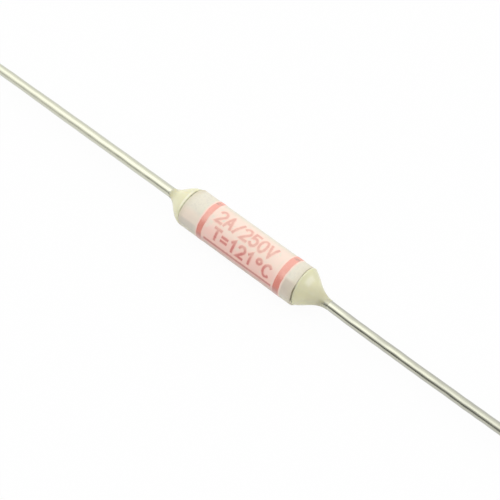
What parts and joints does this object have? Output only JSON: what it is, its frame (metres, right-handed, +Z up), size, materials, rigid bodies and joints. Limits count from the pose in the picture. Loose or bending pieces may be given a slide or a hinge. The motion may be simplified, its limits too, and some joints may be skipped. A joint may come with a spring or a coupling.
{
  "type": "thermal fuse",
  "caption": "Axial thermal fuse: a ceramic tube with printed rings, cast resin seals and straight tinned leads, and a fusible alloy rod in flux inside.",
  "frame": {"origin": "middle of the ceramic tube, on the axis of the leads", "axes": "+X along the leads, towards the end with the longer seal; +Z up, with the tube lying on its side"},
  "size_m": [0.0624, 0.0026, 0.0026],
  "materials": {
    "ceramic": "unglazed",
    "resin": "cast, smooth",
    "tinned_wire": "drawn, tinned",
    "alloy": "dull cast alloy",
    "flux": "clear amber",
    "ink": "printed"
  },
  "bodies": {
    "root": {"ceramic_tube": "ceramic", "left_seal": "resin", "right_seal": "resin", "left_lead": "tinned_wire", "right_lead": "tinned_wire", "fusible_link": "alloy", "flux_coat": "flux", "printed_bands": "ink"}
  },
  "joints": []
}
